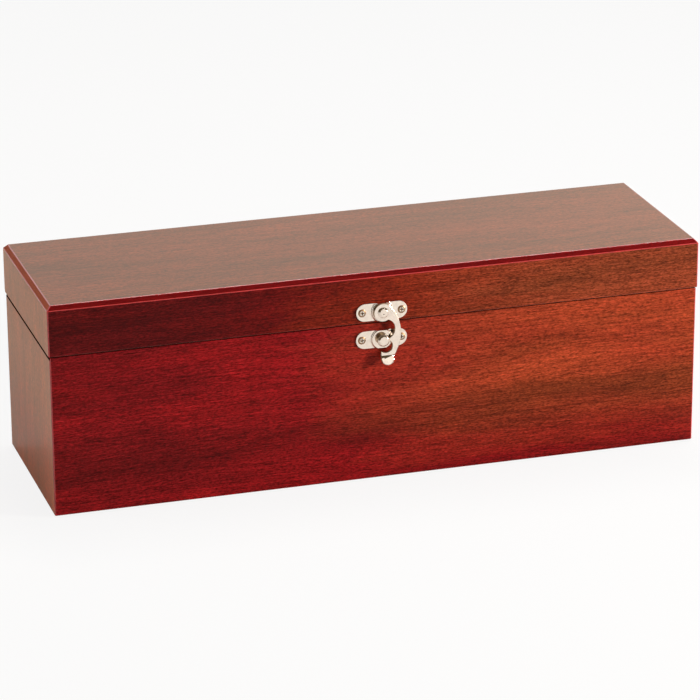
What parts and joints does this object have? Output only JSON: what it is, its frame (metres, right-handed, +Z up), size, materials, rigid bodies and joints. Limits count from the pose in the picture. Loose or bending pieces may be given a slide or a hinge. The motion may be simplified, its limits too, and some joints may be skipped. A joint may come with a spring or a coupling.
{
  "type": "hinged wooden presentation box",
  "caption": "Long lacquered red wooden box with a hinged lid, chamfered top edges and a bright metal swing hook clasp in the middle of the front.",
  "frame": {"origin": "middle of the underside, on the surface that the felt rests on", "axes": "+X along the box to the right as seen from the front, +Y from the clasp to the hinges, +Z up"},
  "size_m": [0.3622, 0.1154, 0.118],
  "materials": {
    "lacquered_wood": "clear gloss lacquer over dark red straight grained wood",
    "floor_board": "bare plywood",
    "felt": "thin pressed felt",
    "lining": "satin cloth over card",
    "bright_nickel": "polished nickel plate",
    "hinge_metal": "nickel plate",
    "screw_steel": "nickel plated steel"
  },
  "bodies": {
    "base": {"base_front": "lacquered_wood", "base_back": "lacquered_wood", "base_left": "lacquered_wood", "base_right": "lacquered_wood", "base_bottom": "floor_board", "base_felt": "felt", "base_lining_flat": "lining", "base_lining_front": "lining", "base_lining_back": "lining", "base_lining_left": "lining", "base_lining_right": "lining", "catch_plate": "bright_nickel", "catch_stud": "bright_nickel", "catch_screws": "screw_steel", "hinge_left_base_leaf": "hinge_metal", "hinge_right_base_leaf": "hinge_metal", "hinge_left_pin": "screw_steel", "hinge_right_pin": "screw_steel", "hinge_base_screws": "screw_steel"},
    "lid": {"lid_top": "lacquered_wood", "lid_front": "lacquered_wood", "lid_back": "lacquered_wood", "lid_left": "lacquered_wood", "lid_right": "lacquered_wood", "lid_lining_flat": "lining", "lid_lining_front": "lining", "lid_lining_back": "lining", "lid_lining_left": "lining", "lid_lining_right": "lining", "clasp_plate": "bright_nickel", "clasp_rivet": "bright_nickel", "clasp_screws": "screw_steel", "hinge_left_lid_leaf": "hinge_metal", "hinge_right_lid_leaf": "hinge_metal", "hinge_lid_screws": "screw_steel"},
    "clasp_hook": {"clasp_hook": "bright_nickel"}
  },
  "joints": [
    {"name": "lid_hinge", "type": "hinge", "parent": "base", "child": "lid", "pos_m": [0, 0.052, 0.08995], "axis": [-1, 0, 0], "range_deg": [0, 95]},
    {"name": "hook_swing", "type": "hinge", "parent": "lid", "child": "clasp_hook", "pos_m": [0, -0.0548, 0.0964], "axis": [0, -1, 0], "range_deg": [0, 180]}
  ]
}
